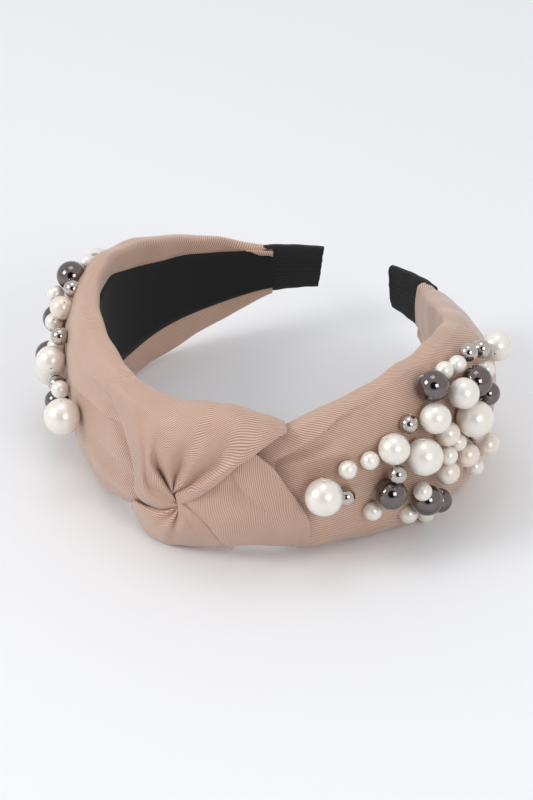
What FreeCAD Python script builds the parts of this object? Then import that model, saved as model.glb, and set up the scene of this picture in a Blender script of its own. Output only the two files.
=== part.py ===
import FreeCAD, Part
import math
import os

# Knotted headband with a padded fabric sash on each arm and sewn-on pearl and metal beads.
# The band lies on its long edge: +Z is the width of the band, +Y runs from the crown and its
# knot to the two tips, and +X is the right arm. All sizes are in millimetres.

# ---------------------------------------------------------------- driving sizes
# Plan of the band: the line that the inner side of the fabric follows, seen from above
inner_half_width = 61.7      # middle plane to the inner side, at the widest place
half_depth = 66.7            # inner side of the crown to the widest place
shoulder_cut = 11.5          # how far the shoulders are drawn in from a plain ellipse
tip_gap = 27.2               # between the two tips

# Fabric sash on each arm, and the same fabric under the knot
sash_height = 55.0
crown_height = 50.0
sash_end_height = 21.0       # where the sash meets the ribbon
widening_length = 10.8       # past the knot, until the sash has its full height
taper_length = 58.0          # the stretch over which the sash narrows to its end
taper_mid_height = 39.6      # halfway along that stretch
crown_thickness = 7.0
shoulder_thickness = 9.5     # beside the knot
puff_thickness = 12.0        # at the fullest place of an arm
taper_thickness = 11.0       # where the sash starts to narrow
taper_mid_thickness = 7.2
sash_end_thickness = 4.8
fabric_wall = 1.2            # folded fabric with its backing
edge_roll = 3.0              # flat width of the rolled upper and lower edges
roll_wall = 0.3              # the fabric is this much thinner where the roll turns outwards
table_flat = 0.05            # the lower roll is pressed flat by this much where it rests
padding_setback = 0.5        # from the ends of the fabric around it
foam_edge = 0.1              # thickness of the foam at its upper and lower edges

# Spring hoop, lining and ribbon ends
hoop_thickness = 1.4
lining_thickness = 0.8
lining_height = 31.0
lining_crown_height = 26.4
lining_end_height = 15.0
hoop_setback = 1.4           # the hoop is this much narrower than the lining, on each edge
ribbon_length = 17.5
ribbon_start_height = 18.6
ribbon_end_height = 15.6
ribbon_wall = 0.6
layer_gap = 0.2              # between layers of one body

# Knot
knot_half_length = 29.2      # along the band, each way from the middle plane
knot_bulge = 7.5             # how far the knot stands out from the sash at its middle
knot_edge_bulge = 1.7        # and at its two ends
knot_wrap = 2.2              # fabric that goes over the upper edge of the band
knot_wrap_inset = 0.5        # from the inner side to that fabric
fold_gap = 0.5               # between two folds of the knot

# Flexing of the arms
flex_gap = 1.6               # between the crown's pieces and an arm's pieces
flex_out = 5.0               # the flex axis, measured outwards from the inner side

# Beads, by diameter
large_pearl = 12.0
medium_pearl = 10.0
light_pearl = 8.0
small_pearl = 6.0
grey_bead = 10.0
light_grey_bead = 8.0
silver_bead = 6.0
bead_bore = 1.0
thread_diameter = 0.4
thread_slack = 0.1           # between the thread and the bead that it hugs
bead_gap = 0.15              # least clear space between two beads
first_bead_clearance = 1.6   # from the knot's end to the first bead
bead_lift = 0.05             # between a bead and the fabric

# ---------------------------------------------------------------- the plan curve
CURVE_STEPS = 900
last_turn = math.pi - math.asin(tip_gap / 2 / inner_half_width)
mid_height = sash_height / 2


def plan_point(turn):
    """Point on the right half of the plan curve; turn is 0 at the crown."""
    x = inner_half_width * math.sin(turn)
    y = half_depth * (1 - math.cos(turn)) + shoulder_cut * math.sin(turn) ** 2 * math.cos(turn)
    return x, y


def plan_direction(turn):
    """Direction along the plan curve, away from the crown."""
    sine = math.sin(turn)
    cosine = math.cos(turn)
    x = inner_half_width * cosine
    y = half_depth * sine + shoulder_cut * (2 * sine * cosine ** 2 - sine ** 3)
    length = math.hypot(x, y)
    return x / length, y / length


turns = [last_turn * step / CURVE_STEPS for step in range(CURVE_STEPS + 1)]
distances = [0.0]
for step in range(CURVE_STEPS):
    here = plan_point(turns[step])
    there = plan_point(turns[step + 1])
    distances.append(distances[-1] + math.dist(here, there))
tip_distance = distances[-1]
sash_end = tip_distance - ribbon_length
arm_start = knot_half_length + flex_gap


def evenly(start, end, count):
    return [start + (end - start) * step / (count - 1) for step in range(count)]


# Every layer is lofted through the same stations, so that the layers stay parallel.
KNOT_STEPS = 14
crown_stations = evenly(-knot_half_length, knot_half_length, 2 * KNOT_STEPS + 1)
arm_stations = evenly(arm_start, sash_end, 27)
tip_stations = evenly(sash_end, tip_distance, 5)


def along(stations, distance):
    """Value at a distance from the crown, in straight steps between (distance, value) stations."""
    distance = abs(distance)
    if distance <= stations[0][0]:
        return stations[0][1]
    for (near, low), (far, high) in zip(stations, stations[1:]):
        if distance <= far:
            return low + (high - low) * (distance - near) / (far - near)
    return stations[-1][1]


def place(distance, out, height):
    """Point at a distance along the band (negative on the left arm), out from the inner side."""
    turn = along(list(zip(distances, turns)), distance)
    x, y = plan_point(turn)
    run_x, run_y = plan_direction(turn)
    side = -1 if distance < 0 else 1
    return FreeCAD.Vector(side * (x + out * run_y), y - out * run_x, height)


def outwards(distance):
    return (place(distance, 1, 0) - place(distance, 0, 0)).normalize()


# ---------------------------------------------------------------- sizes along the band
def half_height(distance):
    stations = [
        (0, crown_height / 2),
        (knot_half_length + widening_length, sash_height / 2),
        (sash_end - taper_length, sash_height / 2),
        (sash_end - taper_length / 2, taper_mid_height / 2),
        (sash_end, sash_end_height / 2),
    ]
    return along(stations, distance)


def thickness(distance):
    stations = [
        (0, crown_thickness),
        (knot_half_length, shoulder_thickness),
        (sash_end / 2, puff_thickness),
        (sash_end - taper_length, taper_thickness),
        (sash_end - taper_length / 2, taper_mid_thickness),
        (sash_end, sash_end_thickness),
    ]
    return along(stations, distance)


def lining_half(distance):
    stations = [
        (0, lining_crown_height / 2),
        (knot_half_length + widening_length, lining_height / 2),
        (sash_end - taper_length, lining_height / 2),
        (sash_end, lining_end_height / 2),
    ]
    return along(stations, distance)


def ribbon_half(distance):
    return along([(sash_end, ribbon_start_height / 2), (tip_distance, ribbon_end_height / 2)], distance)


# ---------------------------------------------------------------- shapes
def inset(stations, gap):
    """The same stations, with the first and last moved inwards by a gap."""
    return [stations[0] + gap] + stations[1:-1] + [stations[-1] - gap]


def both_arms(stations):
    """Stations from end to end: the left arm's, the crown's and the right arm's."""
    return [-d for d in reversed(stations)] + evenly(-arm_start, arm_start, 13)[1:-1] + stations


def section(distance, outline):
    """Closed wire across the band. Each item is a point (out, height), or a pair of points: an arc
    through the first to the second. The outline ends where it starts."""
    edges = []
    here = place(distance, *outline[0])
    for item in outline[1:] + outline[:1]:
        if isinstance(item[0], tuple):
            there = place(distance, *item[1])
            edges.append(Part.Arc(here, place(distance, *item[0]), there).toShape())
        else:
            there = place(distance, *item)
            edges.append(Part.LineSegment(here, there).toShape())
        here = there
    return Part.Wire(edges)


def loft(stations, outline_at, straight=False):
    return Part.makeLoft([section(d, outline_at(d)) for d in stations], True, straight)


def layer(stations, inner, outer, half):
    """Flat layer that follows the band, such as the hoop or the lining."""
    def outline(distance):
        reach = half(distance)
        return [
            (inner, mid_height - reach),
            (inner, mid_height + reach),
            (outer, mid_height + reach),
            (outer, mid_height - reach),
        ]
    return loft(stations, outline)


hoop_inner = lining_thickness + layer_gap
hoop_outer = hoop_inner + hoop_thickness


def sash_outline(distance):
    """Fabric rolled over the upper and lower edges, open towards the lining."""
    top = half_height(distance)
    full = thickness(distance)
    window = lining_half(distance) + layer_gap
    inside = top - fabric_wall
    roll = edge_roll - roll_wall
    return [
        (0.0, mid_height + window),
        (0.0, mid_height + top),
        (edge_roll, mid_height + top),
        ((full, mid_height), (edge_roll, mid_height - top)),
        (0.0, mid_height - top),
        (0.0, mid_height - window),
        (fabric_wall, mid_height - window),
        (fabric_wall, mid_height - inside),
        (roll, mid_height - inside),
        ((full - fabric_wall, mid_height), (roll, mid_height + inside)),
        (fabric_wall, mid_height + inside),
        (fabric_wall, mid_height + window),
    ]


def padding_outline(distance):
    """Foam between the hoop and the fabric."""
    top = half_height(distance) - fabric_wall - 2 * layer_gap
    full = thickness(distance) - fabric_wall - 3 * layer_gap
    inner = hoop_outer + layer_gap
    edge = inner + foam_edge
    return [
        (inner, mid_height + top),
        (edge, mid_height + top),
        ((full, mid_height), (edge, mid_height - top)),
        (inner, mid_height - top),
    ]


def on_the_table(shape):
    """Trims a rolled lower edge to the flat that the band rests on."""
    room = 4 * (inner_half_width + half_depth)
    keep = Part.makeBox(room, room, room, FreeCAD.Vector(-room / 2, -room / 2, 0))
    return shape.common(keep)


def make_sash():
    shape = loft(arm_stations, sash_outline)
    return on_the_table(shape.translated(FreeCAD.Vector(0, 0, -table_flat)))


def make_padding(stations):
    return loft(inset(stations, padding_setback), padding_outline)


def make_tip_cover():
    """Ribbon sleeve over the end of the hoop, closed at the tip."""
    inner = hoop_inner - layer_gap
    outer = hoop_outer + layer_gap
    shell = layer([sash_end + layer_gap] + tip_stations[1:], inner - ribbon_wall,
                  outer + ribbon_wall, ribbon_half)
    hollow_stations = [sash_end - 1] + tip_stations[1:-1] + [tip_distance - ribbon_wall]
    hollow = layer(hollow_stations, inner, outer,
                   lambda distance: ribbon_half(distance) - ribbon_wall)
    return shell.cut(hollow)


def hoop_half(distance):
    return lining_half(distance) - hoop_setback


def make_hoop():
    tip = tip_stations[1:-1] + [tip_distance - ribbon_wall - layer_gap]
    return layer(both_arms(arm_stations + tip), hoop_inner, hoop_outer, hoop_half)


def make_lining():
    arm = arm_stations[:-1] + [sash_end - layer_gap]
    return layer(both_arms(arm), 0.0, lining_thickness, lining_half)


def mirrored(shape):
    return shape.mirror(FreeCAD.Vector(0, 0, 0), FreeCAD.Vector(1, 0, 0))


# ---------------------------------------------------------------- the knot
# The folds meet along lines on the front of the crown. Each line is a list of (share of the knot's
# half length, share of the crown's height), and both neighbours keep half a fold gap from it.
loop_edge = [(-0.86, 0.78), (-0.43, 0.60), (0.0, 0.45), (0.36, 0.60), (0.64, 0.82), (0.93, 0.93)]
lobe_edge = [(-0.50, 0.30), (-0.21, 0.40), (0.07, 0.42), (0.29, 0.25), (0.43, 0.10)]
panel_edge = [(0.36, 0.60), (0.71, 0.78), (1.0, 0.55)]
KNOT_FOOT = 0.03             # lowest edge of the folds, as a share of the crown's height
RIM_SHARE = 0.35             # how much of the bulge stands at a fold's rim
# First and last station of each fold; 0 is the middle plane and KNOT_STEPS the knot's end.
LOOP_REACH = (-12, 13)
LOBE_REACH = (-7, 5)
PANEL_REACH = (2, KNOT_STEPS)
WRAP_REACH = (-KNOT_STEPS, 1)


def on_line(line, position):
    """Height of a fold line at a place along the band."""
    share = position / knot_half_length
    height = line[-1][1]
    if share <= line[0][0]:
        height = line[0][1]
    else:
        for (near, low), (far, high) in zip(line, line[1:]):
            if near <= share <= far:
                height = low + (high - low) * (share - near) / (far - near)
    return mid_height + (height - 0.5) * crown_height


def bulge(position):
    """How far the knot stands out from the sash, fullest at the middle plane."""
    share = min(1.0, abs(position) / knot_half_length)
    return knot_edge_bulge + (knot_bulge - knot_edge_bulge) * math.cos(share * math.pi / 2)


def knot_stretch(reach):
    first, last = reach
    return crown_stations[first + KNOT_STEPS:last + KNOT_STEPS + 1]


def fold(stations, low_at, high_at):
    """Puffed fold on the front of the knot, between two heights."""
    def outline(position):
        low = low_at(position)
        high = high_at(position)
        inner = thickness(position) + layer_gap
        rim = inner + RIM_SHARE * bulge(position)
        return [
            (inner, high),
            (rim, high),
            ((inner + bulge(position), (low + high) / 2), (rim, low)),
            (inner, low),
        ]
    return loft(stations, outline, straight=True)


def make_upper_loop():
    """The large fold that crosses the top of the knot and goes over the band's upper edge."""
    def outline(position):
        low = on_line(loop_edge, position) + fold_gap / 2
        inner = thickness(position) + layer_gap
        rim = inner + RIM_SHARE * bulge(position)
        edge = mid_height + half_height(position) + layer_gap
        top = edge + knot_wrap
        return [
            (inner, low),
            (inner, edge),
            (knot_wrap_inset, edge),
            (knot_wrap_inset, top),
            (edge_roll, top),
            ((inner + bulge(position), (low + top) / 2), (rim, low)),
        ]
    return loft(knot_stretch(LOOP_REACH), outline, straight=True)


def knot_foot(position):
    return mid_height + (KNOT_FOOT - 0.5) * crown_height


def make_lower_lobe():
    def high(position):
        return on_line(lobe_edge, position) - fold_gap / 2
    return fold(knot_stretch(LOBE_REACH), knot_foot, high)


def make_right_panel():
    def low(position):
        return max(knot_foot(position), on_line(lobe_edge, position) + fold_gap / 2)

    def high(position):
        return min(on_line(loop_edge, position), on_line(panel_edge, position)) - fold_gap / 2
    return fold(knot_stretch(PANEL_REACH), low, high)


def make_left_wrap():
    def low(position):
        return on_line(lobe_edge, position) + fold_gap / 2

    def high(position):
        return on_line(loop_edge, position) - fold_gap / 2
    return fold(knot_stretch(WRAP_REACH), low, high)


# ---------------------------------------------------------------- the beads
SIZES = {
    "large": large_pearl,
    "medium": medium_pearl,
    "light": light_pearl,
    "small": small_pearl,
    "grey": grey_bead,
    "lightgrey": light_grey_bead,
    "silver": silver_bead,
}
first_bead = knot_half_length + large_pearl / 2 + first_bead_clearance

# kind, distance past the first bead, place across the sash (-1 lower edge, 1 upper edge),
# turn of its bore on the sash in degrees
right_beads = [
    ("large", 0.0, 0.04, 90),
    ("large", 29.0, 0.22, 90),
    ("large", 47.0, 0.36, 60),
    ("grey", 19.5, -0.13, 60),
    ("grey", 32.0, -0.41, 30),
    ("grey", 36.5, 0.86, 120),
    ("grey", 52.0, 0.67, 90),
    ("medium", 20.5, 0.40, 120),
    ("medium", 34.0, 0.57, 0),
    ("medium", 44.0, 0.68, 30),
    ("medium", 68.0, 0.73, 0),
    ("lightgrey", 38.5, -0.58, 90),
    ("lightgrey", 56.5, 0.44, 0),
    ("light", 38.5, -0.16, 90),
    ("light", 38.5, 0.32, 90),
    ("light", 45.5, -0.07, 0),
    ("light", 56.0, -0.20, 30),
    ("small", 7.5, 0.26, 30),
    ("small", 14.0, 0.31, 0),
    ("small", 15.5, -0.38, 0),
    ("small", 28.5, -0.19, 60),
    ("small", 28.5, -0.64, 0),
    ("small", 36.5, -0.80, 0),
    ("small", 37.5, 0.09, 0),
    ("small", 42.5, 0.14, 0),
    ("small", 43.5, 0.92, 0),
    ("small", 49.0, 0.90, 30),
    ("small", 60.0, 0.64, 60),
    ("small", 53.0, -0.45, 30),
    ("silver", 7.0, -0.08, 0),
    ("silver", 20.5, 0.13, 90),
    ("silver", 27.0, 0.58, 60),
    ("silver", 50.0, 0.09, 90),
    ("silver", 55.5, 0.92, 0),
    ("silver", 62.0, 0.84, 90),
]
left_beads = [
    ("large", 8.5, 0.03, 90),
    ("large", 45.5, -0.28, 60),
    ("grey", 40.5, 0.02, 30),
    ("grey", 50.5, 0.24, 120),
    ("grey", 51.5, 0.79, 60),
    ("medium", 29.0, 0.24, 0),
    ("medium", 56.0, -0.01, 90),
    ("medium", 64.0, 0.38, 90),
    ("medium", 64.5, -0.10, 0),
    ("medium", 71.5, 0.51, 30),
    ("lightgrey", 25.0, -0.19, 60),
    ("lightgrey", 29.5, -0.41, 0),
    ("light", 40.0, 0.66, 120),
    ("light", 57.5, -0.34, 90),
    ("light", 60.5, 0.65, 90),
    ("small", 21.0, 0.06, 30),
    ("small", 22.0, -0.47, 90),
    ("small", 35.5, -0.24, 90),
    ("small", 36.5, 0.24, 60),
    ("small", 41.0, 0.44, 90),
    ("small", 47.5, 0.61, 0),
    ("small", 49.5, -0.64, 0),
    ("small", 56.0, 0.49, 0),
    ("small", 58.0, 0.86, 0),
    ("small", 66.5, -0.38, 90),
    ("small", 69.5, 0.20, 0),
    ("silver", 31.0, -0.12, 0),
    ("silver", 32.0, 0.49, 60),
    ("silver", 35.5, -0.67, 60),
    ("silver", 44.5, 0.82, 90),
    ("silver", 52.0, -0.22, 0),
    ("silver", 59.5, 0.20, 90),
    ("silver", 66.5, 0.68, 0),
]


SHARE_STEP = 0.02
TURN_STEP = 10


def seat(distance, share, radius, lift):
    """Centre of a bead on the rounded outer side of the sash, and the way it faces."""
    top = half_height(distance)
    depth = thickness(distance) - edge_roll
    arc = (top ** 2 + depth ** 2) / (2 * depth)
    height = share * top
    tilt = math.asin(height / arc)
    out = thickness(distance) - arc + (arc + radius + lift) * math.cos(tilt)
    centre = place(distance, out, mid_height + (arc + radius + lift) * math.sin(tilt))
    facing = outwards(distance) * math.cos(tilt) + FreeCAD.Vector(0, 0, math.sin(tilt))
    return centre, facing


def bend_points(centre, radius, facing, bore, way):
    """Where the thread leaves one end of the bore, its middle, and its end at the fabric."""
    ring_radius = radius + thread_slack + thread_diameter / 2
    last = math.asin((radius - thread_diameter / 2) / ring_radius)
    points = []
    for angle in (0.0, last / 2, last):
        outward = bore * (way * math.cos(angle)) - facing * math.sin(angle)
        points.append(centre + outward * ring_radius)
    return points


def free_bore(centre, radius, facing, turn, places):
    """Direction of the bore: the first from its turn onwards whose thread clears the other beads."""
    across = facing.cross(FreeCAD.Vector(0, 0, 1).cross(facing)).normalize()
    run = across.cross(facing)
    neighbours = [(other, size) for other, size in places if (other - centre).Length > bead_gap]
    for more in range(0, 180, TURN_STEP):
        angle = math.radians(turn + more)
        bore = run * math.cos(angle) + across * math.sin(angle)
        thread = bend_points(centre, radius, facing, bore, 1) + bend_points(centre, radius, facing, bore, -1)
        if all((point - other).Length > size + thread_diameter
               for point in thread for other, size in neighbours):
            break
    return bore


def seated(beads):
    """Seats the beads in order. A bead that would cut an earlier one stands further out, and
    one that would reach under the resting edge sits higher."""
    places = []
    done = []
    for kind, past, share, turn in beads:
        radius = SIZES[kind] / 2
        distance = first_bead + past
        lift = bead_lift
        centre, facing = seat(distance, share, radius, lift)
        while centre.z < radius + bead_gap:
            share += SHARE_STEP
            centre, facing = seat(distance, share, radius, lift)
        while any((centre - other).Length < radius + size + bead_gap for other, size in places):
            lift += bead_lift
            centre, facing = seat(distance, share, radius, lift)
        places.append((centre, radius))
        done.append((kind, centre, radius, facing, turn))
    return [
        (kind, centre, radius, facing, free_bore(centre, radius, facing, turn, places))
        for kind, centre, radius, facing, turn in done
    ]


def make_bead(centre, radius, bore):
    hole = Part.makeCylinder(bead_bore / 2, 2 * radius + 2, centre - bore * (radius + 1), bore)
    return Part.makeSphere(radius, centre, bore).cut(hole)


def make_thread(centre, radius, facing, bore):
    """Thread through the bore, hugging the bead down to the fabric at both ends."""
    near, far = [bend_points(centre, radius, facing, bore, way) for way in (1, -1)]
    thread = Part.makeCylinder(thread_diameter / 2, (near[0] - far[0]).Length, far[0], bore)
    for bend in (near, far):
        path = Part.Wire([Part.Arc(*bend).toShape()])
        ring = Part.Wire([Part.makeCircle(thread_diameter / 2, bend[0], facing)])
        thread = thread.fuse(path.makePipeShell([ring], True, False))
    return thread


def bead_nodes(side, beads):
    """One node for each large or middle-sized bead, one for each small kind, one for the thread."""
    found = {}
    gathered = {"small": [], "silver": []}
    counts = {}
    threads = []
    for kind, centre, radius, facing, bore in seated(beads):
        shape = make_bead(centre, radius, bore)
        threads.append(make_thread(centre, radius, facing, bore))
        if kind in gathered:
            gathered[kind].append(shape)
        else:
            counts[kind] = counts.get(kind, 0) + 1
            found[f"{side}_{kind}_bead_{counts[kind]}"] = shape
    found[f"{side}_small_pearls"] = Part.makeCompound(gathered["small"])
    found[f"{side}_silver_beads"] = Part.makeCompound(gathered["silver"])
    found[f"{side}_threads"] = Part.makeCompound(threads)
    return found


# ---------------------------------------------------------------- all pieces
def make_nodes():
    sash = make_sash()
    padding = make_padding(arm_stations)
    cover = make_tip_cover()
    nodes = {
        "hoop": make_hoop(),
        "lining": make_lining(),
        "crown_sash": loft(crown_stations[::2], sash_outline),
        "crown_padding": make_padding(crown_stations[::2]),
        "knot_upper_loop": make_upper_loop(),
        "knot_left_wrap": make_left_wrap(),
        "knot_right_panel": make_right_panel(),
        "knot_lower_lobe": make_lower_lobe(),
        "right_sash": sash,
        "left_sash": mirrored(sash),
        "right_padding": padding,
        "left_padding": mirrored(padding),
        "right_tip_cover": cover,
        "left_tip_cover": mirrored(cover),
    }
    nodes.update(bead_nodes("right", right_beads))
    for name, shape in bead_nodes("left", left_beads).items():
        nodes[name] = mirrored(shape)
    return nodes


def centred(nodes):
    """Moves the origin to half the depth of the whole piece, in the plane between the arms."""
    box = Part.makeCompound(list(nodes.values())).optimalBoundingBox(False, False)
    shift = FreeCAD.Vector(0, -(box.YMin + box.YMax) / 2, 0)
    axis_point = place(arm_start - flex_gap / 2, flex_out, 0)
    print("box", [round(v, 2) for v in (box.XMin, box.XMax, box.YLength, box.ZMin, box.ZMax)])
    print("shift along the depth", round(shift.y, 3))
    print("right flex axis", [round(v, 3) for v in axis_point + shift])
    return {name: shape.translated(shift) for name, shape in nodes.items()}


os.makedirs("parts", exist_ok=True)
for node_name, node_shape in centred(make_nodes()).items():
    node_shape.exportStep(f"parts/{node_name}.step")
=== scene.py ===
import bmesh
import bpy
import math
import numpy as np
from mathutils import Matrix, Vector


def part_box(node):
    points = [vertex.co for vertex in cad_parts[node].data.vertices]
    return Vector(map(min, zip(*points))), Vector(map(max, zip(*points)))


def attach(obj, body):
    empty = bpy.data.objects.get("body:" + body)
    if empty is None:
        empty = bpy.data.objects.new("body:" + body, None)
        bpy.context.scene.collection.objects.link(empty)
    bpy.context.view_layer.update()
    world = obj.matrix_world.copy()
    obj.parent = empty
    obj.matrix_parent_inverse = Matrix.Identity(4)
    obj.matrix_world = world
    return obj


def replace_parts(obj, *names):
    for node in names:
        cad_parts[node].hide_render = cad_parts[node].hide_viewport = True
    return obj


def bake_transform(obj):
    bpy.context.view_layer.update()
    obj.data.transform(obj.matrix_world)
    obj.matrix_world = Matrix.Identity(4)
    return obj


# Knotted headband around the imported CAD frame. Lengths in the tables and shape functions are in
# millimetres along the band: distance from the crown (negative on the left arm), out from the
# inner side, and height above the table. MM turns them into the row frame's metres.
MM = 0.001
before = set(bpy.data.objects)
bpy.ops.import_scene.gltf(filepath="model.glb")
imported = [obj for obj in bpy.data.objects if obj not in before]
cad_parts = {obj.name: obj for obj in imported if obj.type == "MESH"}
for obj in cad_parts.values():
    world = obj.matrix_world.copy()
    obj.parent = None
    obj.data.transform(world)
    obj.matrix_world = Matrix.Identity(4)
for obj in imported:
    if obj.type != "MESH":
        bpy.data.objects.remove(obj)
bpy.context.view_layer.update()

# ---------------------------------------------------------------- the plan of the band
SHOULDER_CUT = 11.5
HALF_DEPTH = 66.7
TIP_GAP = 27.2
LINING_THICKNESS = 0.8
RIBBON_LENGTH = 17.5
SASH_HEIGHT = 55.0
MID_HEIGHT = SASH_HEIGHT / 2
FLOOR_CLEARANCE = 0.6
lining_low, lining_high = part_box("lining")
HALF_WIDTH = lining_high.x / MM - LINING_THICKNESS
DEPTH_SHIFT = lining_low.y / MM + LINING_THICKNESS

last_turn = math.pi - math.asin(TIP_GAP / 2 / HALF_WIDTH)
turns = np.linspace(0, last_turn, 1500)
plan_x = HALF_WIDTH * np.sin(turns)
plan_y = HALF_DEPTH * (1 - np.cos(turns)) + SHOULDER_CUT * np.sin(turns) ** 2 * np.cos(turns)
steps = np.hypot(np.diff(plan_x), np.diff(plan_y))
run = np.concatenate([[0], np.cumsum(steps)])
run_x = np.gradient(plan_x, run)
run_y = np.gradient(plan_y, run)
TIP = run[-1]
SASH_END = TIP - RIBBON_LENGTH


def place(distance, out, height):
    """Points in the row frame for each distance, out and height, kept just above the table."""
    values = [np.asarray(value, float) for value in (distance, out, height)]
    distance, out, height = np.broadcast_arrays(*values)
    side = np.where(distance < 0, -1.0, 1.0)
    far = np.abs(distance)
    x, y, dx, dy = [np.interp(far, run, v) for v in (plan_x, plan_y, run_x, run_y)]
    beyond = np.maximum(far - TIP, 0)
    x = x + out * dy + beyond * dx
    y = y - out * dx + beyond * dy + DEPTH_SHIFT
    return np.stack([side * x, y, np.maximum(height, FLOOR_CLEARANCE)], -1) * MM


def eased(stations, distance, blur=5.0):
    """Value along the band from (distance, value) stations, with rounded corners."""
    keys, values = zip(*stations)
    total = 0.0
    weights = 0.0
    for offset in np.linspace(-1, 1, 9):
        weight = 1.05 - offset * offset
        total = total + weight * np.interp(distance + offset * blur, keys, values)
        weights += weight
    return total / weights


def smooth(value, low, high):
    """0 below low and 1 above high, with a smooth step between."""
    share = np.clip((value - low) / (high - low), 0, 1)
    return share * share * (3 - 2 * share)


def slope(rise):
    """Share of the lean at a height on the outer side, from 0 at LEAN_OUTSIDE to 1 at the edge."""
    return np.clip((rise - LEAN_OUTSIDE) / (1 - LEAN_OUTSIDE), 0, 1) ** 1.3


def wave(value, length, phase):
    return np.sin(value * (2 * math.pi / length) + phase)


def spline(points, count):
    """Smooth curve through the points, as evenly spaced points."""
    points = np.asarray(points, float)
    padded = np.vstack([2 * points[0] - points[1], points, 2 * points[-1] - points[-2]])
    fine = []
    for i in range(len(points) - 1):
        a, b, c, d = padded[i:i + 4]
        t = np.linspace(0, 1, 24, endpoint=False)[:, None]
        fine.append(b + 0.5 * t * (c - a + t * (2 * a - 5 * b + 4 * c - d + t * (3 * (b - c) + d - a))))
    fine = np.vstack(fine + [points[-1:]])
    length = np.concatenate([[0], np.cumsum(np.linalg.norm(np.diff(fine, axis=0), axis=1))])
    at = np.linspace(0, length[-1], count)
    return np.stack([np.interp(at, length, fine[:, k]) for k in range(fine.shape[1])], -1)


# ---------------------------------------------------------------- meshes
def make_object(name, mesh):
    piece = bpy.data.objects.new(name, mesh)
    bpy.context.scene.collection.objects.link(piece)
    return piece


def grid_piece(name, points, uv, material, closed=False):
    """Smooth quad mesh over a grid of points; uv is in millimetres on the cloth."""
    rows, columns = points.shape[:2]
    index = np.arange(rows * columns).reshape(rows, columns)
    if closed:
        index = np.hstack([index, index[:, :1]])
    quads = np.stack([index[:-1, :-1], index[1:, :-1], index[1:, 1:], index[:-1, 1:]], -1).reshape(-1, 4)
    mesh = bpy.data.meshes.new(name)
    mesh.from_pydata(points.reshape(-1, 3).tolist(), [], quads.tolist())
    layer = mesh.uv_layers.new(name="cloth")
    corners = np.zeros(len(mesh.loops), int)
    mesh.loops.foreach_get("vertex_index", corners)
    layer.data.foreach_set("uv", (uv.reshape(-1, 2)[corners] * MM).astype(np.float32).ravel())
    mesh.polygons.foreach_set("use_smooth", [True] * len(mesh.polygons))
    mesh.materials.append(material)
    mesh.update()
    return make_object(name, mesh)


def thicken(piece, thickness, offset):
    """Gives a sheet its thickness, with closed edges."""
    solid = piece.modifiers.new("thickness", "SOLIDIFY")
    solid.thickness = thickness * MM
    solid.offset = offset
    solid.use_even_offset = False
    return piece


def grid_lengths(points):
    """Distance across the cloth to each point of a grid, in millimetres."""
    gaps = np.linalg.norm(np.diff(points, axis=1), axis=-1) / MM
    return np.concatenate([np.zeros((len(points), 1)), np.cumsum(gaps, axis=1)], axis=1)


# ---------------------------------------------------------------- materials
# Blender's wave texture repeats every pi / 10 over its scale
WAVE_SCALE = math.pi / 10
RIB_UNEVENNESS = 0.35
MOTTLE_SHARE = 0.16
# Sockets of a mix node that mixes colours
MIX_FACTOR = 0
MIX_A = 6
MIX_B = 7
MIX_RESULT = 2


def new_material(name, colour, roughness, metallic=0.0):
    material = bpy.data.materials.new(name)
    material.use_nodes = True
    shader = material.node_tree.nodes["Principled BSDF"]
    shader.inputs["Base Color"].default_value = (*colour, 1)
    shader.inputs["Roughness"].default_value = roughness
    shader.inputs["Metallic"].default_value = metallic
    return material, material.node_tree.nodes, material.node_tree.links, shader


def ribs(nodes, links, angle, pitch):
    """(cloth coordinates, wave) nodes of fine parallel ribs, with values from 0 to 1."""
    uv = nodes.new("ShaderNodeUVMap")
    uv.uv_map = "cloth"
    turned = nodes.new("ShaderNodeMapping")
    turned.inputs["Rotation"].default_value = (0, 0, math.radians(angle))
    wave_node = nodes.new("ShaderNodeTexWave")
    wave_node.inputs["Scale"].default_value = 1 / (pitch * MM) * WAVE_SCALE
    wave_node.inputs["Distortion"].default_value = RIB_UNEVENNESS
    wave_node.inputs["Detail"].default_value = 1.0
    wave_node.inputs["Detail Scale"].default_value = 0.8
    links.new(uv.outputs["UV"], turned.inputs["Vector"])
    links.new(turned.outputs["Vector"], wave_node.inputs["Vector"])
    return uv, wave_node


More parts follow.
